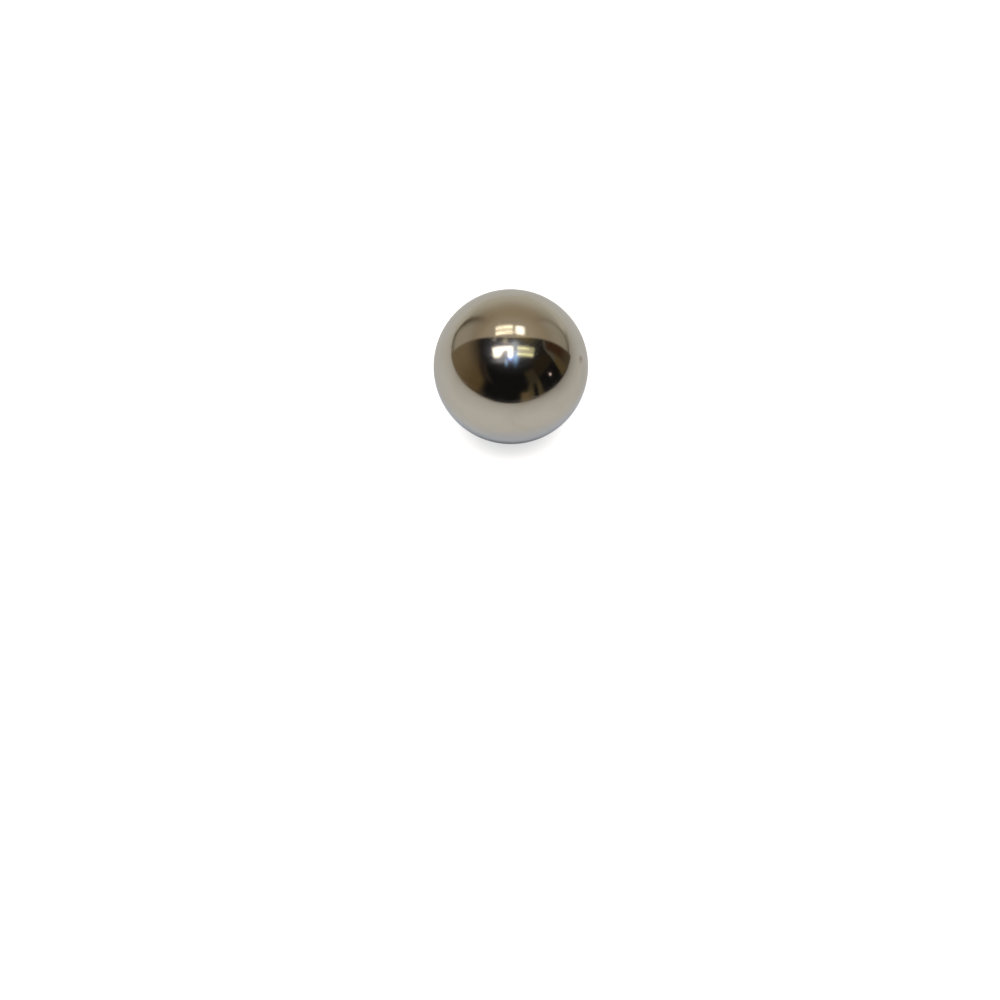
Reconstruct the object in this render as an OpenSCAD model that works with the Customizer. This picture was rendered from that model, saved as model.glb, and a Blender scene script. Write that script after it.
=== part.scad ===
// Polished steel ball: one solid sphere, ground and lapped all over.
// Lengths are in millimetres. The origin is the centre of the ball and +Z is up.

/* [Ball] */
// Diameter of the ball
ball_d = 8; // [1:0.25:60]

/* [Hidden] */

// Colour of the polished steel
steel_grey = [0.60, 0.585, 0.55];
// Steps round a full circle, when the ball is shown as a mesh
$fn = 180;

// The whole ball. It has no flat, seam, pole mark or core: its surface is the same everywhere.
module ball() {
    color(steel_grey)
        sphere(d = ball_d);
}

ball();
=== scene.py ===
# %% [markdown]
# # A polished steel ball
# The real ball starts as a slug of wire. It is pressed round between two cups, hardened, ground, and then
# lapped for hours between grooved iron plates with a fine paste. What comes out is one solid piece, round
# to a thousandth of a millimetre, with a bare metal surface like a mirror. It has no seam, no flat and no
# pole.
#
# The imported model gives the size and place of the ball. Everything here is in metres, in that same frame:
# the centre of the ball is the origin, and +Z points up.

import bpy
import numpy as np
from mathutils import Matrix, Vector


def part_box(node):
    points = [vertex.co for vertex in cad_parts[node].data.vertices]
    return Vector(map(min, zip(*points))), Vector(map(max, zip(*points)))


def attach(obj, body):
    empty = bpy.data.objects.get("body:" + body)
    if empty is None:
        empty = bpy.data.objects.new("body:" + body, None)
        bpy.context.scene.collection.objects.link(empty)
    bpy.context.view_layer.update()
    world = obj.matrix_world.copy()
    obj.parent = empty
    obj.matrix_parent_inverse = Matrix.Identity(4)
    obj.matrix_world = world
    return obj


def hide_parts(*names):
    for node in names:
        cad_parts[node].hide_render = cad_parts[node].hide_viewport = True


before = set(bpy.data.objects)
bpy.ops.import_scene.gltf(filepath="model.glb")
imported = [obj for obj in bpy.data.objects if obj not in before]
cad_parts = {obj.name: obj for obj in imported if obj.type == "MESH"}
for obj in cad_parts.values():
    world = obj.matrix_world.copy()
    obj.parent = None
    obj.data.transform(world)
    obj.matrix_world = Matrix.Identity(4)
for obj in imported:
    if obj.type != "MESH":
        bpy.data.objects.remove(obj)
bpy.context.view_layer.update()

MM = 1000.0  # millimetres in a metre

low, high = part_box("ball")
radius = (high.z - low.z) / 2
print(f"ball: {2 * MM * radius:.2f} mm across, centre at {[round(v, 6) for v in (low + high) / 2]}")

# %% [markdown]
# ## Helpers
# A few small tools are enough for the whole scene. One turns arrays of points and faces into a mesh object.
# One adds a shader node and fills its inputs, either with a value or with the output of another node. The
# rest are steps that come back often: arithmetic, a soft step, a tint, noise and a distance. With them a
# material reads almost like a formula.

# %% Helpers
def new_mesh(name, points, faces):
    """A smooth-shaded mesh object that sits at the origin, with its place in its points."""
    mesh = bpy.data.meshes.new(name)
    mesh.from_pydata(points, [], faces)
    mesh.polygons.foreach_set("use_smooth", np.ones(len(faces), dtype=bool))
    mesh.update()
    obj = bpy.data.objects.new(name, mesh)
    bpy.context.scene.collection.objects.link(obj)
    return obj


def new_tree(owner):
    """The empty node tree of a material or a world, with nothing but an output."""
    owner.use_nodes = True
    tree = owner.node_tree
    tree.nodes.clear()
    kind = "ShaderNodeOutputWorld" if isinstance(owner, bpy.types.World) else "ShaderNodeOutputMaterial"
    tree.nodes.new(kind).name = "end"
    return tree


def add(tree, kind, inputs=(), **options):
    """A new shader node. Each input takes a plain value or another node's output socket."""
    node = tree.nodes.new("ShaderNode" + kind)
    for option, value in options.items():
        setattr(node, option, value)
    for socket, value in dict(inputs).items():
        if isinstance(value, bpy.types.NodeSocket):
            tree.links.new(value, node.inputs[socket])
        else:
            node.inputs[socket].default_value = value
    return node


def sums(tree, operation, *values, clamp=False):
    """The result of one arithmetic step, such as MULTIPLY or MAXIMUM."""
    return add(tree, "Math", enumerate(values), operation=operation, use_clamp=clamp).outputs[0]


def fade(tree, value, start, end, low=0.0, high=1.0):
    """Rises smoothly from low to high while the value goes from start to end."""
    inputs = {"Value": value, "From Min": start, "From Max": end, "To Min": low, "To Max": high}
    return add(tree, "MapRange", inputs, interpolation_type="SMOOTHSTEP").outputs[0]


def tinted(tree, mask, colour, tint):
    """The colour where the mask is 0, and the tint where it is 1."""
    return add(tree, "Mix", {0: mask, 6: colour, 7: tint}, data_type="RGBA").outputs[2]


def noise(tree, place, scale, detail, **more):
    """Cloudy random values round a half, with as many patches to each unit of the place as the scale."""
    return add(tree, "TexNoise", {"Vector": place, "Scale": scale, "Detail": detail, **more}).outputs[0]


def distance(tree, place, other):
    """How far a place is from another."""
    return add(tree, "VectorMath", {0: place, 1: other}, operation="DISTANCE").outputs["Value"]


print(f"helpers: ready in Blender {bpy.app.version_string}")

# %% [markdown]
# ## The surface of the ball
# A mirror shows every facet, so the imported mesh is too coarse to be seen, although its size is right.
#
# The usual sphere of rings and segments crowds its faces at two poles, and a mirror finish shows that as a
# pinch. A sphere folded from the six faces of a cube has no pole. On a plain cube grid the cells near the
# corners would come out small, so the grid lines are spaced by equal angle, with a tangent, before each
# point is pushed out to the radius. The cells then differ little in size over the whole ball.

# %% The ball
CELLS = 120  # along one edge of the cube; even, so that a point lies exactly at the end of each axis


def ball_surface(radius, cells):
    """Points and outward faces of a closed ball.

    Two parameters u and v run from -1 to 1 over each face of a cube. The point that has tan(u pi/4) and
    tan(v pi/4) along the face, and 1 out of it, is divided by its own length and multiplied by the radius.
    Points on the cube's edges belong to two or three faces, and are merged by their whole-number places.
    """
    step = np.arange(cells + 1)
    across, along = np.meshgrid(step, step, indexing="ij")
    number = np.arange(across.size).reshape(across.shape)
    ring = [number[:-1, :-1], number[1:, :-1], number[1:, 1:], number[:-1, 1:]]
    square = np.stack(ring, axis=-1).reshape(-1, 4)
    places, faces = [], []
    for axis in range(3):
        for end in (0, cells):
            place = np.empty((across.size, 3), dtype=int)
            place[:, axis] = end
            place[:, (axis + 1) % 3] = across.ravel()
            place[:, (axis + 2) % 3] = along.ravel()
            outward = square if end else square[:, ::-1]
            faces.append(outward + len(places) * across.size)
            places.append(place)
    places, merged = np.unique(np.concatenate(places), axis=0, return_inverse=True)
    direction = np.tan((2 * places / cells - 1) * np.pi / 4)
    direction /= np.linalg.norm(direction, axis=1, keepdims=True)
    return direction * radius, merged.ravel()[np.concatenate(faces)]


points, faces = ball_surface(radius, CELLS)
ball = new_mesh("polished_ball", points, faces)
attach(ball, "root")
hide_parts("ball")
print(f"polished_ball: {len(points)} points, {2 * len(faces)} triangles")

# %% [markdown]
# ## The steel
# Bearing steel is bare metal, so its colour is the tint that it gives to what it mirrors: a touch darker
# and warmer. Three things keep it from looking like a perfect computer mirror. Fingers and oil leave a
# broad, faint haze. Rolling about in a tray leaves hairlines, a hundredth of a millimetre wide or less,
# that lie in all directions. And a few pits stay where the lapping never reached the bottom of a scratch.
#
# Each of these is a mask between 0 and 1, worked out from the place on the ball in millimetres. The masks
# are then put together into colour, roughness and a bump of less than a thousandth of a millimetre.

# %% Places on the ball, and its haze
HAZE_PATCHES_PER_MM = 0.45
HAZE_DETAIL, HAZE_GRAIN, HAZE_DISTORTION = 5.0, 0.62, 0.7
HAZE_STARTS, HAZE_FULL = 0.44, 0.72  # values of the noise


def millimetres(tree):
    """The place on the piece, in millimetres from the centre of the ball."""
    place = add(tree, "TexCoord").outputs["Object"]
    return add(tree, "VectorMath", {0: place, "Scale": MM}, operation="SCALE").outputs[0]


def haze(tree, place):
    """Cloudy patches a millimetre or two across, broken up by a finer grain, as a film of oil dries."""
    grain = {"Roughness": HAZE_GRAIN, "Distortion": HAZE_DISTORTION}
    clouds = noise(tree, place, HAZE_PATCHES_PER_MM, HAZE_DETAIL, **grain)
    return fade(tree, clouds, HAZE_STARTS, HAZE_FULL)


print(f"haze: patches of about {1 / HAZE_PATCHES_PER_MM:.1f} mm")

# %% [markdown]
# A hairline is long one way and thin the other. Noise that changes sixty times faster along one direction
# than along the others gives just that: the narrow band where it crosses its middle value is a fine,
# slightly wandering line. One such noise gives lines of one direction, so several are laid over each other,
# each turned its own way, and a second noise leaves only short stretches of them.

# %% Hairlines
HAIRLINE_TURNS = [  # about x, y and z, in radians
    (0.3, 0.9, 0.2), (1.9, 0.4, 1.1), (0.8, 2.2, 2.6), (2.7, 1.4, 0.5), (1.2, 0.1, 1.9),
]
HAIRLINES_PER_MM = 5.0
HAIRLINE_STRETCH = 60.0
HAIRLINE_CORE, HAIRLINE_RIM = 0.002, 0.010  # how far the noise is off its middle value there
PATCHES_PER_HAIRLINE = 9.0  # of the second noise
PATCH_STARTS, PATCH_FULL = 0.55, 0.68  # values of the second noise


def hairlines(tree, place):
    """Fine lines in several directions: narrow bands where a stretched noise crosses its middle value."""
    slow = HAIRLINES_PER_MM / HAIRLINE_STRETCH
    spread = (slow, slow, HAIRLINES_PER_MM)
    lines = None
    for turn in HAIRLINE_TURNS:
        turned = add(tree, "Mapping", {"Vector": place, "Rotation": turn, "Scale": spread}).outputs[0]
        off_middle = sums(tree, "ABSOLUTE", sums(tree, "SUBTRACT", noise(tree, turned, 1.0, 1.0), 0.5))
        line = fade(tree, off_middle, HAIRLINE_CORE, HAIRLINE_RIM, 1.0, 0.0)
        patch = fade(tree, noise(tree, turned, PATCHES_PER_HAIRLINE, 0.0), PATCH_STARTS, PATCH_FULL)
        line = sums(tree, "MULTIPLY", line, patch)
        lines = line if lines is None else sums(tree, "MAXIMUM", lines, line)
    return lines


print(f"hairlines: in {len(HAIRLINE_TURNS)} directions")

# %% [markdown]
# Pits are round specks. A Voronoi pattern fills the steel with cells, each round a point of its own. A
# small round mask about these points gives a speck wherever the surface passes close to one. A random
# value of each cell leaves nearly half of them plain, so the whole ball has only about ten pits. It also
# has one small dull stain, on its right.

# %% Pits and one stain
PIT_SPACING = 0.9  # mm between the cells that may hold a pit
PIT_CORE, PIT_RIM = 0.012, 0.035  # radii where a pit is full and where it ends, as shares of the spacing
CELLS_WITHOUT_PIT = 0.45  # share of the cells
STAIN_PLACE = (3.56, -0.77, 1.65)  # mm
STAIN_CORE, STAIN_RIM = 0.14, 0.42  # mm from its place
STAIN_GRAIN_PER_MM = 5.0
STAIN_UNEVENNESS = 0.2  # mm that the grain moves its rim inwards, at most


def pits(tree, place):
    """Round specks of a few hundredths of a millimetre, about the points of some Voronoi cells."""
    cells = add(tree, "TexVoronoi", {"Vector": place, "Scale": 1 / PIT_SPACING})
    speck = fade(tree, cells.outputs["Distance"], PIT_CORE, PIT_RIM, 1.0, 0.0)
    chance = add(tree, "SeparateColor", {0: cells.outputs["Color"]}).outputs[0]
    return sums(tree, "MULTIPLY", speck, sums(tree, "GREATER_THAN", chance, CELLS_WITHOUT_PIT))


def stain(tree, place):
    """One small dull mark round its place, soft, and a little uneven at the rim."""
    grain = noise(tree, place, STAIN_GRAIN_PER_MM, 0.0)
    away = sums(tree, "MULTIPLY_ADD", grain, STAIN_UNEVENNESS, distance(tree, place, STAIN_PLACE))
    return fade(tree, away, STAIN_CORE, STAIN_RIM, 1.0, 0.0)


print(f"pits: up to {2 * PIT_RIM * PIT_SPACING:.2f} mm wide")

# %% [markdown]
# One metal shader carries it all. Oil darkens the tint and blurs the mirror a little, and a stain and a
# pit do so more. A hairline only blurs it, and bends what is mirrored. For that a bump serves as well as
# real depth, because a mirror shows the slightest slope.

# %% The finished steel
STEEL = (0.605, 0.588, 0.558, 1)
STEEL_UNDER_HAZE = (0.568, 0.545, 0.502, 1)
STEEL_IN_A_PIT = (0.150, 0.135, 0.115, 1)
STEEL_STAINED = (0.400, 0.365, 0.310, 1)
STEEL_AT_A_SLANT = (0.84, 0.86, 0.90, 1)  # how much of the plain rule's glare is left near the rim
MIRROR_ROUGHNESS = 0.085
ROUGHER_BY_HAZE, ROUGHER_BY_LINE, ROUGHER_BY_STAIN, ROUGHER_BY_PIT = 0.05, 0.10, 0.12, 0.25
RELIEF = 0.0000006  # metres, the depth of a pit
LINE_DEPTH = 0.35  # of a hairline, as a share of a pit's


def polished_steel():
    """Bare lapped steel: one metal shader, with haze, hairlines, pits and a stain in its sockets."""
    steel = bpy.data.materials.new("polished_steel")
    tree = new_tree(steel)
    place = millimetres(tree)
    hazed, lined, pitted, stained = (mask(tree, place) for mask in (haze, hairlines, pits, stain))

    colour = tinted(tree, hazed, STEEL, STEEL_UNDER_HAZE)
    colour = tinted(tree, stained, colour, STEEL_STAINED)
    colour = tinted(tree, pitted, colour, STEEL_IN_A_PIT)

    roughness = sums(tree, "MULTIPLY_ADD", hazed, ROUGHER_BY_HAZE, MIRROR_ROUGHNESS)
    roughness = sums(tree, "MULTIPLY_ADD", lined, ROUGHER_BY_LINE, roughness)
    roughness = sums(tree, "MULTIPLY_ADD", stained, ROUGHER_BY_STAIN, roughness)
    roughness = sums(tree, "MULTIPLY_ADD", pitted, ROUGHER_BY_PIT, roughness)

    dips = sums(tree, "MAXIMUM", sums(tree, "MULTIPLY", lined, LINE_DEPTH), pitted)
    bump = add(tree, "Bump", {"Height": dips, "Distance": RELIEF, "Strength": 1.0}, invert=True)
    inputs = {"Base Color": colour, "Metallic": 1.0, "Roughness": roughness, "Normal": bump.outputs[0]}
    shader = add(tree, "BsdfPrincipled", inputs)
    shader.inputs["Specular Tint"].default_value = STEEL_AT_A_SLANT
    tree.links.new(shader.outputs[0], tree.nodes["end"].inputs["Surface"])
    return steel


ball.data.materials.append(polished_steel())
print(f"polished_steel: {len(ball.data.materials[0].node_tree.nodes)} nodes")

# %% [markdown]
# ## The camera
# The camera looks down on the ball through a long lens. In the picture the ball isn't in the middle, so the
# camera is aimed past it, at the table in front. The tilt comes from what the ball mirrors, and the
# distance from its size in the picture: a ball of radius r that looks p pixels large through a lens of f
# pixels is f r / p away, measured along the view.

# %% Camera
PICTURE = 1000  # pixels along each side
BALL_IN_PICTURE = (510.86, 366.64)  # pixels from the left and from the top
BALL_LOOKS = 77.4  # pixels, its radius in the picture
LENS_IN_PIXELS = 2700
SENSOR = 36  # mm
TILT = np.radians(55.5)  # how far the middle of the view looks down

forward = np.array([0, np.cos(TILT), -np.sin(TILT)])
upward = np.array([0, np.sin(TILT), np.cos(TILT)])
rightward = np.array([1.0, 0, 0])
depth = LENS_IN_PIXELS * radius / BALL_LOOKS
right_of_middle = (BALL_IN_PICTURE[0] - PICTURE / 2) / LENS_IN_PIXELS
above_middle = (PICTURE / 2 - BALL_IN_PICTURE[1]) / LENS_IN_PIXELS
eye = -depth * (forward + right_of_middle * rightward + above_middle * upward)

lens = bpy.data.cameras.new("camera")
lens.sensor_width = SENSOR
lens.lens = SENSOR * LENS_IN_PIXELS / PICTURE
lens.clip_start, lens.clip_end = 0.01, 10
camera = bpy.data.objects.new("camera", lens)
turned = Matrix((rightward, upward, -forward)).transposed().to_4x4()
camera.matrix_world = Matrix.Translation(Vector(eye)) @ turned
bpy.context.scene.collection.objects.link(camera)
bpy.context.scene.camera = camera
print(f"camera: {lens.lens:.1f} mm lens, {MM * np.linalg.norm(eye):.0f} mm from the ball")

# %% [markdown]
# ## The floor
# A ball on white paper mirrors the paper all round its rim. The paper is a matt sheet, and the ball sees it
# as the lamps light it, with the shadow under the ball, deepened by a painted shadow. Its colour also gets
# darker with distance, most of all towards the front and the right: painted shade, as of a sheet that
# leaves the light.

# %% The paper's colour, with painted shade
FLOOR_LEFT, FLOOR_RIGHT, FLOOR_FRONT, FLOOR_BACK = -0.120, 0.110, -0.105, 0.30
CONTACT = (0, 0, low.z)  # where the ball touches the paper
PAPER = (0.84, 0.83, 0.81, 1)
# Painted shade: the paper's colour darkens with distance from the ball, most towards the front and the
# right.
PAPER_IN_PAINTED_SHADE_BACK, PAPER_IN_PAINTED_SHADE_FRONT = (0.77, 0.74, 0.65, 1), (0.32, 0.28, 0.235, 1)
SHADE_STARTS, SHADE_ENDS = 3, 30  # radii from the ball
FRONT_STARTS, FRONT_FULL = 1.0, -0.1  # how far back a way points, from 1 at the back to -1 at the front
FRONT_SHADE, MORE_ON_THE_RIGHT = 0.8, 0.2  # how much of the front's painted shade there is straight in front
SIDE_SHADE = 0.15  # how much more painted shade darkens the paper on the right
SIDE_STARTS, SIDE_FULL = 0.5, 1.0  # how far right a way points
SIDE_SHADE_STARTS, SIDE_SHADE_ENDS = 3, 9  # radii from the ball
# Painted shadow: the paper's colour is darkened round the foot of the ball, deeper than the lamps' shadow.
PAINTED_SHADOW_UNDER_BALL = (0.26, 0.25, 0.24, 1)
PAINTED_SHADOW_PLACE = (0, -0.12 * radius, low.z)  # the middle of the painted shadow under the ball
PAINTED_SHADOW_CORE, PAINTED_SHADOW_RIM = 0.42, 0.85  # radii from there
BLACK = (0, 0, 0, 1)


def paper_colour_and_painted_shade(tree, place, from_contact):
    """Near paper, mixed into far paper by the logarithm of the distance, with a painted shadow under the
    ball.

    The far colour is painted shade that depends on the way: pale at the back, dark at the front and most of
    all on the right, where a second painted shade falls on it.
    """
    outward = add(tree, "VectorMath", {0: place, 1: CONTACT}, operation="SUBTRACT").outputs[0]
    outward = add(tree, "VectorMath", {0: outward}, operation="NORMALIZE").outputs[0]
    right, back, _ = add(tree, "SeparateXYZ", {0: outward}).outputs
    share = sums(tree, "MULTIPLY_ADD", right, MORE_ON_THE_RIGHT, FRONT_SHADE)
    front = sums(tree, "MULTIPLY", fade(tree, back, FRONT_STARTS, FRONT_FULL), share)
    # painted shade of the far paper, by the way it points from the ball
    far = tinted(tree, front, PAPER_IN_PAINTED_SHADE_BACK, PAPER_IN_PAINTED_SHADE_FRONT)
    times = sums(tree, "DIVIDE", from_contact, SHADE_STARTS * radius)
    reach = sums(tree, "LOGARITHM", times, SHADE_ENDS / SHADE_STARTS, clamp=True)
    open_paper = tinted(tree, reach, PAPER, far)
    # a second painted shade on the right
    aside = fade(tree, right, SIDE_STARTS, SIDE_FULL, 0.0, SIDE_SHADE)
    away = fade(tree, from_contact, SIDE_SHADE_STARTS * radius, SIDE_SHADE_ENDS * radius)
    open_paper = tinted(tree, sums(tree, "MULTIPLY", aside, away), open_paper, BLACK)
    from_painted_shadow = distance(tree, place, PAINTED_SHADOW_PLACE)
    # painted shadow: the paper's colour darkens towards its middle under the ball
    under = fade(tree, from_painted_shadow, PAINTED_SHADOW_CORE * radius, PAINTED_SHADOW_RIM * radius, 1.0, 0.0)
    return tinted(tree, under, open_paper, PAINTED_SHADOW_UNDER_BALL)


print(f"paper: {MM * (FLOOR_RIGHT - FLOOR_LEFT):.0f} by {MM * (FLOOR_BACK - FLOOR_FRONT):.0f} mm")

# %% [markdown]
# For the camera the sheet is lifted to white by a little light of its own, which grows with the distance
# from the ball, so the shadow stays. Mirrors see a small share of that light. A ball also throws a cool
# gleam on the paper round its foot; here it is a painted glow on the paper, which only mirrors see. From
# below, the sheet would hide the ball, so its back is clear to the camera.

# %% Floor
LIFT_AT_CONTACT, LIFT_NEAR, LIFT_FAR = 0.38, 0.80, 1.10
CONTACT_DARK, CONTACT_CLEAR = 0.15, 0.80  # radii from the contact, between which the near lift is reached
LIFT_STARTS, LIFT_ENDS = 0.010, 0.040  # metres from the contact, between which the far lift is reached
LIFT_IN_MIRRORS = 0.08
# The gleam is painted light: a cool glow in the paper round the ball's foot.
PAINTED_GLEAM_COLOUR, GLEAM_LEVEL = (0.42, 0.62, 1.0, 1), 0.17
GLEAM_INNER, GLEAM_MIDDLE, GLEAM_OUTER = 0.5, 1.0, 1.7  # radii from the contact


def paper():
    """Matt paper that the camera sees as white, apart from the shadow, with a painted gleam for mirrors,
    and that is clear from below.
    """
    sheet = bpy.data.materials.new("paper")
    tree = new_tree(sheet)
    place = add(tree, "TexCoord").outputs["Object"]
    from_contact = distance(tree, place, CONTACT)
    matt = add(tree, "BsdfDiffuse", {"Color": paper_colour_and_painted_shade(tree, place, from_contact)})

    rays = add(tree, "LightPath").outputs
    mirrors = sums(tree, "MAXIMUM", rays["Is Glossy Ray"], rays["Is Transmission Ray"])
    seen = sums(tree, "MULTIPLY_ADD", mirrors, LIFT_IN_MIRRORS, rays["Is Camera Ray"])
    dark, clear = CONTACT_DARK * radius, CONTACT_CLEAR * radius
    near_lift = fade(tree, from_contact, dark, clear, LIFT_AT_CONTACT, LIFT_NEAR)
    far_lift = fade(tree, from_contact, LIFT_STARTS, LIFT_ENDS, 0.0, LIFT_FAR - LIFT_NEAR)
    lift = sums(tree, "MULTIPLY", sums(tree, "ADD", near_lift, far_lift), seen)
    glow = add(tree, "Emission", {"Strength": lift})
    lifted = add(tree, "AddShader", {0: matt.outputs[0], 1: glow.outputs[0]})

    # Painted gleam: a cool glow on the paper round the ball's foot, which only mirrors see.
    inner = fade(tree, from_contact, GLEAM_INNER * radius, GLEAM_MIDDLE * radius)
    outer = fade(tree, from_contact, GLEAM_OUTER * radius, GLEAM_MIDDLE * radius)
    foot = sums(tree, "MULTIPLY", sums(tree, "MULTIPLY", inner, outer), GLEAM_LEVEL)
    thrown = sums(tree, "MULTIPLY", foot, rays["Is Glossy Ray"])
    painted_gleam = add(tree, "Emission", {"Color": PAINTED_GLEAM_COLOUR, "Strength": thrown})
    lifted = add(tree, "AddShader", {0: lifted.outputs[0], 1: painted_gleam.outputs[0]})

    back = add(tree, "NewGeometry").outputs["Backfacing"]
    from_below = sums(tree, "MULTIPLY", back, rays["Is Camera Ray"])
    window = add(tree, "BsdfTransparent")
    sides = add(tree, "MixShader", {0: from_below, 1: lifted.outputs[0], 2: window.outputs[0]})
    tree.links.new(sides.outputs[0], tree.nodes["end"].inputs["Surface"])
    return sheet


corners = [(x, y, low.z) for y in (FLOOR_FRONT, FLOOR_BACK) for x in (FLOOR_LEFT, FLOOR_RIGHT)]
floor = new_mesh("floor", np.array(corners), np.array([[0, 1, 3, 2]]))
floor.data.materials.append(paper())
print(f"floor: at {MM * low.z:.1f} mm, just touching the ball")

# %% [markdown]
# ## The studio that the ball mirrors
# Most of what a mirror ball shows is its surroundings, so they matter as much as the steel. Evenly white
# surroundings would leave the ball looking like grey plastic. Here the paper fades into a warm backdrop
# that curves up behind the ball and on overhead, with a fold at each side. That pale half ends in an edge
# that passes just behind the point overhead. In front of it the studio is dark, with a brown board on the
# left, and a wooden stand, a dim shelf and a hardboard screen on the right.
#
# All of it is painted on one large dome that only the ball's reflections see. Its colour is a formula of
# the direction, in degrees: up over the horizon, and turned from the front. Each board or lamp is a smooth
# step or two. A pair of numbers says where such a step starts and where it is full, and a set of three
# says where a band starts and ends, and how soft its edges are.

# %% Smooth steps
def smooth(start, end, value):
    """0 before start, 1 after end, and an S-curve between. Start may be the larger one."""
    t = np.clip((value - start) / (end - start), 0, 1)
    return t * t * (3 - 2 * t)


def between(start, end, soft, value):
    """1 between start and end, 0 outside, with edges that are twice soft wide."""
    return smooth(start - soft, start + soft, value) * smooth(end + soft, end - soft, value)


def hump(middle, wide, value):
    """A bell curve, 1 at the middle and about a third at the distance wide."""
    return np.exp(-((value - middle) / wide) ** 2)


def laid_over(under, over, mask):
    """One colour over another where the mask is 1."""
    return under + (np.asarray(over) - under) * mask[:, None]


def all_over(colour, value):
    """The same colour for every value."""
    return np.tile(colour, (len(value), 1))


print(f"smooth step: {smooth(0, 1, 0.25):.2f} a quarter of the way, and {smooth(0, 1, 0.5):.2f} halfway")

# %% [markdown]
# The pale half comes first, and in it the backdrop: paper that fades into a warm sheet, with painted shade
# where it turns to the sides.

# %% The backdrop
PAPER_FAR = (0.600, 0.556, 0.442)
BACKDROP = (0.374, 0.295, 0.192)
BACKDROP_OVERHEAD = (0.432, 0.360, 0.254)
BACKDROP_RISES = (-3, 37)  # heights between which the paper turns into the backdrop
OVERHEAD_RISES = (42, 60)  # and between which that turns into its overhead part
SIDES_LEFT, SIDES_RIGHT = 0.25, 0.18  # how much painted shade darkens the sides
SIDES_BEGIN = (12, 42)  # degrees from straight behind
SIDES_FOOT, SIDES_TOP = (1, 11), (50, 24)


def backdrop(up, from_back, left):
    """The colour of the backdrop, with painted shade at the sides, by height, degrees from straight behind,
    and whether it's on the left.
    """
    colour = laid_over(all_over(PAPER_FAR, up), BACKDROP, smooth(*BACKDROP_RISES, up))
    colour = laid_over(colour, BACKDROP_OVERHEAD, smooth(*OVERHEAD_RISES, up))
    shade = np.where(left, SIDES_LEFT, SIDES_RIGHT) * smooth(*SIDES_BEGIN, from_back)
    shade = shade * smooth(*SIDES_FOOT, up) * smooth(*SIDES_TOP, up)
    return colour * (1 - shade)[:, None]


behind = backdrop(np.array([5.0]), np.array([0.0]), np.array([False]))[0]
print(f"backdrop: {behind.round(2)} straight behind, 5 degrees up")

# %% [markdown]
# The backdrop's two folds aren't upright: near the floor they swing out to the sides, as the lower edge of
# a curved sheet does. Past each fold is a wing. A painted shade runs as a dark line along the foot of the
# wings, where they meet the paper, and the left one has a soft painted shade beside its fold.

# %% The folds and the wings
FOLD = 38  # degrees from straight behind
FOLD_SOFT = 3
SWING_LEFT, SWING_RIGHT = 20, 34  # degrees that a fold swings out at the floor
SWING_FALL_LEFT, SWING_FALL_RIGHT = 7, 10  # degrees of height in which the swing falls to a third
WINGS, WINGS_TOP = (0.398, 0.346, 0.258), (46, 18)
RIGHT_WING, RIGHT_WING_LOW, RIGHT_WING_LOW_UP = 0.03, 0.06, (24, 8)  # how much darker it is, and low down
BESIDE = 0.16  # how dark the painted shade beside the left fold is
BESIDE_FALL = 9  # degrees in which it falls to a third
BESIDE_FOOT, BESIDE_TOP = (2, 8), (40, 20)
FOOT_LEFT, FOOT_RIGHT = 0.46, 0.50  # how dark the painted shade along the foot is
FOOT_UP_LEFT, FOOT_UP_RIGHT, FOOT_TALL = 0.4, 1.4, 3.6  # its middle height, and its spread
FOOT_BEGINS = (46, 56)  # degrees from straight behind


def past_fold(up, from_back, left):
    """Degrees past the fold. The fold is at FOLD, plus a swing that is an exponential of the height."""
    swing_left = SWING_LEFT * np.exp(-up / SWING_FALL_LEFT)
    swing_right = SWING_RIGHT * np.exp(-up / SWING_FALL_RIGHT)
    return from_back - (FOLD + np.where(left, swing_left, swing_right))


def wings(colour, up, from_back, past, left):
    """Lays the wings over the colours, with painted shade beside the left fold and along the foot."""
    darker = np.where(left, 0, RIGHT_WING + RIGHT_WING_LOW * smooth(*RIGHT_WING_LOW_UP, up))
    wing = np.outer(1 - darker, WINGS)
    colour = laid_over(colour, wing, smooth(-FOLD_SOFT, FOLD_SOFT, past) * smooth(*WINGS_TOP, up))
    beside = BESIDE * np.exp(-np.maximum(past, 0) / BESIDE_FALL)
    beside = beside * smooth(*BESIDE_FOOT, up) * smooth(*BESIDE_TOP, up)
    foot = hump(np.where(left, FOOT_UP_LEFT, FOOT_UP_RIGHT), FOOT_TALL, up)
    foot = np.where(left, FOOT_LEFT, FOOT_RIGHT) * foot * smooth(*FOOT_BEGINS, from_back)
    shade = np.maximum(foot, np.where(left & (past > 0), beside, 0))
    return colour * (1 - shade)[:, None]


print(f"folds: {FOLD + SWING_LEFT} and {FOLD + SWING_RIGHT} degrees from straight behind at the floor")

# %% [markdown]
# In each fold is a brown crease of painted shade. The left one is deep, and gets shallower and wider on its
# outer side higher up. The right one is faint, and deepest near the floor.

# %% The creases of painted shade
# The crease colour is painted shade in the folds.
CREASE_SHADE_COLOUR, CREASE_TOP = (0.050, 0.020, 0.002), (48, 13)
DEPTH_LEFT, SHALLOWER, SHALLOWER_UP = 0.90, 0.20, (8, 18)
DEPTH_RIGHT, DEEPER, DEEPER_UP = 0.28, 0.22, (14, 6)
CREASE_WIDE, WIDER, WIDER_UP = 4.2, 2.4, (5, 14)
CREASE_FOOT_LEFT, CREASE_FOOT_RIGHT = (-3, 2), (-1, 4)


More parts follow.
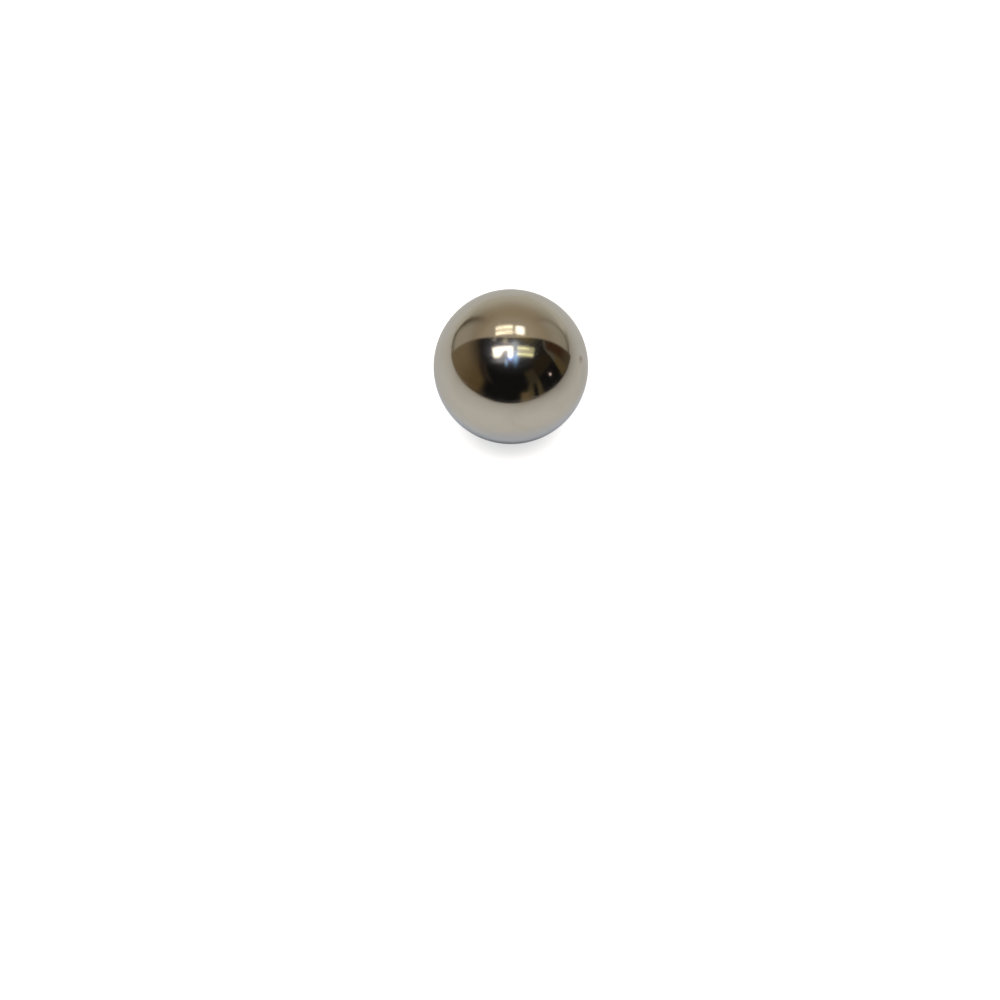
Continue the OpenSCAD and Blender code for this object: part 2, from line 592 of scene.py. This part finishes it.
def crease_shade(up, past, left):
    """How strong the painted shade of a fold's crease is at a place: a bell curve of the degrees past it.
    """
    depth_left = DEPTH_LEFT - SHALLOWER * smooth(*SHALLOWER_UP, up)
    depth_right = DEPTH_RIGHT + DEEPER * smooth(*DEEPER_UP, up)
    wide = CREASE_WIDE + np.where(left & (past > 0), WIDER * smooth(*WIDER_UP, up), 0)
    foot = np.where(left, smooth(*CREASE_FOOT_LEFT, up), smooth(*CREASE_FOOT_RIGHT, up))
    return np.where(left, depth_left, depth_right) * hump(0, wide, past) * smooth(*CREASE_TOP, up) * foot


def pale_half(up, turn):
    """Paper and backdrop behind and over the ball, by height and turn from the front in degrees."""
    left = turn < 0
    from_back = 180 - np.abs(turn)
    past = past_fold(up, from_back, left)
    colour = wings(backdrop(up, from_back, left), up, from_back, past, left)
    return laid_over(colour, CREASE_SHADE_COLOUR, crease_shade(up, past, left))


print(f"creases: {2 * CREASE_WIDE} degrees wide at the floor")

# %% [markdown]
# The dark half is almost black low down and a little greyer overhead. The brown board on the left begins at
# an upright edge that leans back higher up, next to a dim side of its own.

# %% The brown board
DARK_LOW, DARK_HIGH, DARK_RISES = (0.0085, 0.0080, 0.0078), (0.034, 0.031, 0.030), (36, 60)
BOARD_NEAR, BOARD_FAR, BOARD_FADES = (0.116, 0.077, 0.033), (0.195, 0.142, 0.078), (-52, -98)
BOARD_STARTS, BOARD_FULL, BOARD_TOP = -36, -50, (50, 20)
BOARD_LEANS_ABOVE = 21
BOARD_LEAN, BOARD_FULL_LEAN = 1.4, 1.5  # degrees further left for each degree up
BOARD_SIDE = (0.034, 0.025, 0.018)
SIDE_BEGINS, SIDE_UP = (-20, -27), (24, 44, 4)


def board(colour, up, turn):
    """Lays the brown board on the left over the colours, and its dim side where it leans."""
    lean = np.maximum(up - BOARD_LEANS_ABOVE, 0)
    side = smooth(*SIDE_BEGINS, turn + BOARD_LEAN * lean) * between(*SIDE_UP, up)
    colour = laid_over(colour, BOARD_SIDE, side)
    brown = laid_over(all_over(BOARD_NEAR, up), BOARD_FAR, smooth(*BOARD_FADES, turn))
    starts, full = BOARD_STARTS - BOARD_LEAN * lean, BOARD_FULL - BOARD_FULL_LEAN * lean
    return laid_over(colour, brown, smooth(starts, full, turn) * smooth(*BOARD_TOP, up))


print(f"board: starts {-BOARD_STARTS} degrees left of the front")

# %% [markdown]
# On the right is the stand, two posts side by side that join at the top, with a foot that reaches towards
# the front. The left post is bowed, so its outer edge is a parabola of the height.

# %% The stand
STAND_TOP, STAND, STAND_FOOT = (0.050, 0.038, 0.021), (0.086, 0.065, 0.034), (0.165, 0.115, 0.056)
STAND_BRIGHTENS, FOOT_BRIGHTENS_TURN, FOOT_BRIGHTENS_UP = (28, 10), (34, 20), (15, 8)
POSTS_LEFT, POSTS_RIGHT, POSTS_SOFT, POSTS_TOP = 28.2, 45.3, 2, (45, 36)
BOW_UP, BOW_FALL, BOW_LEFTMOST = 27, 6.5, 25  # height of the bow, how fast it bends away, and how far
GAP_LEFT, GAP_RIGHT, GAP_SOFT, GAP_LEAN, GAP_TOP = 31.9, 38, 1.2, 0.07, (24, 16)
STAND_FOOT_TURN, STAND_FOOT_TOP = (14, 32, 2), (14, 10.5)


def stand_shape(up, turn):
    """Where the stand is: two posts that join at the top, parted by a gap, with a foot in front."""
    bowed = np.maximum(POSTS_LEFT - ((up - BOW_UP) / BOW_FALL) ** 2, BOW_LEFTMOST)
    posts = between(bowed, POSTS_RIGHT, POSTS_SOFT, turn) * smooth(*POSTS_TOP, up)
    gap = between(GAP_LEFT, GAP_RIGHT, GAP_SOFT, turn - GAP_LEAN * up) * smooth(*GAP_TOP, up)
    foot = between(*STAND_FOOT_TURN, turn) * smooth(*STAND_FOOT_TOP, up)
    return np.maximum(posts, foot) * (1 - gap)


def stand(colour, up, turn):
    """Lays the stand over the colours: darker at the top, and brightest at its foot."""
    wood = laid_over(all_over(STAND_TOP, up), STAND, smooth(*STAND_BRIGHTENS, up))
    bright = smooth(*FOOT_BRIGHTENS_TURN, turn) * smooth(*FOOT_BRIGHTENS_UP, up)
    return laid_over(colour, laid_over(wood, STAND_FOOT, bright), stand_shape(up, turn))


print(f"stand: {POSTS_LEFT} to {POSTS_RIGHT} degrees right of the front")

# %% [markdown]
# A dim shelf runs from the stand to the screen, which is a pale frame with one rounded corner, round a dark
# brown panel. The frame has an upright at its near side, wider at the foot, and a rail along its top.

# %% The shelf and the screen
SHELF, SHELF_TURN, SHELF_UP = (0.026, 0.019, 0.011), (46, 82, 4), (26, 46, 3)
PANEL_LOW, PANEL_HIGH = (0.074, 0.055, 0.031), (0.050, 0.025, 0.012)
PANEL_STARTS, PANEL_DARKENS_TURN, PANEL_DARKENS_UP = (82, 87), (87, 95), (4, 18)
FRAME_LOW, FRAME_HIGH, FRAME_FADES = (0.106, 0.074, 0.032), (0.108, 0.092, 0.070), (18, 28)
SCREEN_TOP = 43.5
SCREEN_TOP_SOFT = 2
CORNER_TURN, CORNER_DROP, CORNER_ROUND, CORNER_LIMIT = 84.5, 9, 4.5, 10
UPRIGHT_LEFT, UPRIGHT_RIGHT, UPRIGHT_SOFT = 74.5, 89, 2.5
UPRIGHT_NARROWS_BY, UPRIGHT_NARROWS = 8, (18, 30)
RAIL_HALF, RAIL_STARTS = 2.2, (82.5, 85)
FRAME_STRENGTH, FRAME_FOOT, FRAME_ENDS = 0.95, (-4, 2), (112, 100)


def screen(colour, up, turn):
    """Lays the screen over the colours: the panel, and the frame along its near side and its top.

    The top is a level line that bends down at the near corner, by an exponential of the turn.
    """
    before_corner = np.minimum(CORNER_TURN - turn, CORNER_LIMIT)
    top = SCREEN_TOP - CORNER_DROP * np.exp(before_corner / CORNER_ROUND)
    inside = smooth(SCREEN_TOP_SOFT, -SCREEN_TOP_SOFT, up - top)
    darkens = smooth(*PANEL_DARKENS_TURN, turn) * smooth(*PANEL_DARKENS_UP, up)
    panel = laid_over(all_over(PANEL_LOW, up), PANEL_HIGH, darkens)
    colour = laid_over(colour, panel, smooth(*PANEL_STARTS, turn) * inside)
    near_side = UPRIGHT_LEFT + UPRIGHT_NARROWS_BY * smooth(*UPRIGHT_NARROWS, up)
    upright = between(near_side, UPRIGHT_RIGHT, UPRIGHT_SOFT, turn) * inside
    rail = hump(top, RAIL_HALF, up) * smooth(*RAIL_STARTS, turn)
    tint = laid_over(all_over(FRAME_LOW, up), FRAME_HIGH, smooth(*FRAME_FADES, up))
    ends = smooth(*FRAME_FOOT, up) * smooth(*FRAME_ENDS, turn)
    return laid_over(colour, tint, FRAME_STRENGTH * np.maximum(upright, rail) * ends)


def dark_half(up, turn):
    """The studio in front of the ball, by height and turn from the front in degrees."""
    colour = laid_over(all_over(DARK_LOW, up), DARK_HIGH, smooth(*DARK_RISES, up))
    colour = board(colour, up, turn)
    colour = stand(colour, up, turn)
    colour = laid_over(colour, SHELF, between(*SHELF_TURN, turn) * between(*SHELF_UP, up))
    return screen(colour, up, turn)


ahead = dark_half(np.array([5.0]), np.array([0.0]))[0]
print(f"dark half: {ahead.round(4)} straight ahead, 5 degrees up")

# %% [markdown]
# ## The lamps
# Four light boxes hang in two rows over the table. Two of them show a pair of tubes through their covers,
# and a black card cuts a wedge out of a third. In front of it is one small, cooler lamp. All are set out on
# a ceiling of height 1 over the ball, which is the easiest way to think of what a ball mirrors overhead: a
# lamp that is seen x to the right and y to the back has its cover at (x, y, 1).
#
# The mirror and the paper need different things from a lamp. The mirror shows its cover, with soft edges
# and tubes, so covers are painted on the dome. The paper needs clean light and a soft shadow, so a plain
# area lamp of the same size, which the mirror doesn't see, hangs at each box.

# %% What the mirror sees of the lamps
BOXES = {  # left, right, front and back edge, how soft the edges are, and the colour of the cover
    "rear_left": (-0.38, 0.05, 0.20, 0.53, 0.03, (0.35, 0.24, 0.20)),
    "rear_right": (0.12, 0.32, 0.22, 0.47, 0.06, (2.60, 2.30, 1.95)),
    "front_left": (-0.50, 0.045, -0.43, -0.13, 0.055, (2.50, 2.30, 1.90)),
    "front_right": (0.16, 0.67, -0.41, -0.10, 0.04, (0.57, 0.52, 0.29)),
}
TUBES = (  # box, right end, middle, half height, softness, colour
    ("rear_left", 0.05, 0.26, 0.045, 0.06, (2.05, 1.85, 1.32)),
    ("rear_left", 0.05, 0.43, 0.045, 0.06, (2.05, 1.85, 1.32)),
    ("front_right", 0.67, -0.335, 0.025, 0.015, (1.50, 1.45, 0.70)),
    ("front_right", 0.49, -0.165, 0.025, 0.015, (1.50, 1.45, 0.70)),
)
CARD_BOX = "front_left"
CARD_LEFT, CARD_RIGHT, CARD_BACK = -0.19, -0.075, -0.23  # its back edge
CARD_SLANT, CARD_SOFT, CARD_HIDES = 0.65, 0.05, 0.92
SPOTS = {  # middle and spread from left to right, the same from front to back, colour
    "cool_lamp": (-0.02, 0.05, -0.43, 0.09, (0.8, 1.4, 3.4)),
    "cool_right": (0.135, 0.07, -0.45, 0.19, (0.34, 0.64, 1.10)),
    "cool_left": (-0.14, 0.04, -0.60, 0.12, (0.35, 0.60, 0.95)),
    "before_the_front_row": (-0.30, 0.24, -0.54, 0.08, (0.30, 0.29, 0.31)),
    "round_the_front_row": (-0.08, 0.38, -0.25, 0.22, (0.46, 0.45, 0.52)),
    "behind_front_left": (-0.14, 0.06, 0.02, 0.07, (0.46, 0.39, 0.22)),
    "behind_its_far_end": (-0.42, 0.06, 0.11, 0.05, (0.30, 0.26, 0.22)),
    "behind_front_right": (0.10, 0.08, -0.06, 0.09, (0.29, 0.35, 0.36)),
    "between_the_rows": (0.34, 0.26, 0.11, 0.12, (0.10, 0.07, 0.01)),
}


def card(x, y):
    """Where the black card hides its box: a wedge with a slanting left side and an upright right one."""
    past_left = smooth(-CARD_SOFT, CARD_SOFT, x - CARD_LEFT - CARD_SLANT * (y - CARD_BACK))
    before_right = smooth(CARD_SOFT, -CARD_SOFT, x - CARD_RIGHT)
    return past_left * before_right * smooth(CARD_SOFT, -CARD_SOFT, y - CARD_BACK)


def lamp_glow(x, y):
    """The light of all lamps at the places (x, y) of a ceiling of height 1."""
    glow = np.zeros((len(x), 3))
    for name, (left, right, front, back, soft, cover) in BOXES.items():
        colour = all_over(cover, x)
        for box, end, middle, half, blur, tube in TUBES:
            if box == name:
                lit = between(middle - half, middle + half, blur, y) * smooth(end + soft, end - soft, x)
                colour = laid_over(colour, tube, lit)
        inside = between(left, right, soft, x) * between(front, back, soft, y)
        if name == CARD_BOX:
            inside = inside * (1 - CARD_HIDES * card(x, y))
        glow += colour * inside[:, None]
    for middle, wide, front, deep, colour in SPOTS.values():
        glow += np.outer(hump(middle, wide, x) * hump(front, deep, y), colour)
    return glow


print(f"lamps in the mirror: {len(BOXES)} boxes, {len(TUBES)} tubes, {len(SPOTS)} soft spots")

# %% [markdown]
# Now the dome itself. It is a grid of rings, closer together overhead, where the lamps are. The colour of
# every point is worked out at once and kept on the mesh as an attribute, which the dome's material reads.

# %% Dome
DOME_RADIUS = 0.6  # metres
DOME_FOOT = -8.0  # degrees; a little below the horizon, to close the gap to the floor
RING_STEP, FINE_RING_STEP, FINE_ABOVE, LAST_RING = 1.0, 0.4, 45, 89.99  # degrees
EDGE_BEHIND = 0.10  # how far behind the point overhead the pale half ends, on a ceiling of height 1
EDGE_SPREAD_LEFT, EDGE_SPREAD_RIGHT = 0.315, 0.28  # how much further back it ends to each side
EDGE_SOFT = 0.025
SPARK, SPARK_TURN, SPARK_UP = (2.4, 1.85, 1.65), 63.8, 16.5  # a tiny far lamp
SPARK_WIDE, SPARK_TALL = 1.1, 1.3
LAMPS_ABOVE = 0.5  # of the dome's radius


def studio_colour(x, y, z):
    """The studio's colour towards (x, y, z), with x to the right, y to the back and z up."""
    up = np.degrees(np.arcsin(np.clip(z, -1, 1)))
    turn = np.degrees(np.arctan2(x, -y))  # 0 in front, 90 on the right, -90 on the left
    edge = np.hypot(EDGE_BEHIND * z, np.where(x < 0, EDGE_SPREAD_LEFT, EDGE_SPREAD_RIGHT) * x)
    pale = smooth(-EDGE_SOFT, EDGE_SOFT, y - edge)
    colour = laid_over(dark_half(up, turn), pale_half(up, turn), pale)
    spark = hump(SPARK_TURN, SPARK_WIDE, turn) * hump(SPARK_UP, SPARK_TALL, up)
    colour = laid_over(colour, SPARK, spark)
    height = np.maximum(z, LAMPS_ABOVE)
    return colour + lamp_glow(x / height, y / height) * (z > LAMPS_ABOVE)[:, None]


def dome(radius, foot):
    """A dome from the foot, in degrees over the horizon, to the point overhead, with faces and colours.

    The place at (round, up) is (cos up sin round, cos up cos round, sin up) times the radius.
    """
    around = np.radians(np.arange(0, 360, RING_STEP))
    low_rings = np.arange(foot, FINE_ABOVE, RING_STEP)
    high_rings = np.arange(FINE_ABOVE, 90, FINE_RING_STEP)
    rise = np.radians(np.concatenate([low_rings, high_rings, [LAST_RING]]))
    up, turn = np.meshgrid(rise, around, indexing="ij")
    direction = np.stack([np.cos(up) * np.sin(turn), np.cos(up) * np.cos(turn), np.sin(up)], axis=-1)
    number = np.arange(up.size).reshape(up.shape)
    beside = np.roll(number, -1, axis=1)
    faces = np.stack([number[:-1], beside[:-1], beside[1:], number[1:]], axis=-1).reshape(-1, 4)
    flat = direction.reshape(-1, 3)
    return flat * radius, faces, studio_colour(*flat.T)


dome_points, dome_faces, dome_colours = dome(DOME_RADIUS, DOME_FOOT)
studio = new_mesh("studio_dome", dome_points, dome_faces)
colours = studio.data.color_attributes.new("glow", "FLOAT_COLOR", "POINT")
colours.data.foreach_set("color", np.column_stack([dome_colours, np.ones(len(dome_colours))]).ravel())

glowing = bpy.data.materials.new("studio_glow")
tree = new_tree(glowing)
stored = add(tree, "Attribute", attribute_name="glow").outputs["Color"]
glow = add(tree, "Emission", {"Color": stored, "Strength": 1.0})
tree.links.new(glow.outputs[0], tree.nodes["end"].inputs["Surface"])
studio.data.materials.append(glowing)
studio.visible_camera = studio.visible_diffuse = studio.visible_shadow = False
print(f"studio_dome: {len(dome_points)} points, seen only in reflections")

# %% [markdown]
# The area lamps hang half a metre up, where the boxes are seen. An area lamp of a given power looks dimmer
# when it is larger, so the power of each follows from its size, and all of them look equally bright.

# %% Light for the paper
CEILING = 0.5  # metres above the ball
LAMP_LEVEL = 3.80  # how bright each area lamp looks
LAMP_COLOUR = (1.0, 0.90, 0.72)
POWER_PER_GLOW = np.pi  # watts per square metre that look as bright as 1

for name, (left, right, front, back, *_) in BOXES.items():
    lamp = bpy.data.lights.new(name, "AREA")
    lamp.shape = "RECTANGLE"
    lamp.size, lamp.size_y = (right - left) * CEILING, (back - front) * CEILING
    lamp.energy = LAMP_LEVEL * POWER_PER_GLOW * lamp.size * lamp.size_y
    lamp.color = LAMP_COLOUR
    panel = bpy.data.objects.new(name, lamp)
    panel.location = ((left + right) / 2 * CEILING, (front + back) / 2 * CEILING, CEILING)
    panel.visible_camera = panel.visible_glossy = False
    bpy.context.scene.collection.objects.link(panel)
print(f"lamps: {len(bpy.data.lights)} panels, {MM * CEILING:.0f} mm over the ball")

# %% [markdown]
# ## The background
# The world is white for the camera and for what metal mirrors, and a softer, cooler fill for everything
# else. So the picture has a white ground, and the shadow isn't washed away.

# %% World
WHITE = (1, 1, 1, 1)
FILL = (0.90, 0.95, 1.0, 1)
FILL_LEVEL = 0.33

world = bpy.data.worlds.new("studio")
bpy.context.scene.world = world
tree = new_tree(world)
rays = add(tree, "LightPath").outputs
seen = sums(tree, "MAXIMUM", rays["Is Camera Ray"], rays["Is Glossy Ray"])
seen = sums(tree, "MAXIMUM", seen, rays["Is Transmission Ray"])
fill = add(tree, "Background", {"Color": FILL, "Strength": FILL_LEVEL})
white = add(tree, "Background", {"Color": WHITE, "Strength": 1.0})
both = add(tree, "MixShader", {0: seen, 1: fill.outputs[0], 2: white.outputs[0]})
tree.links.new(both.outputs[0], tree.nodes["end"].inputs["Surface"])
bpy.context.scene.view_settings.view_transform = "Standard"
print(f"world: white to the camera, fill light at {FILL_LEVEL}")
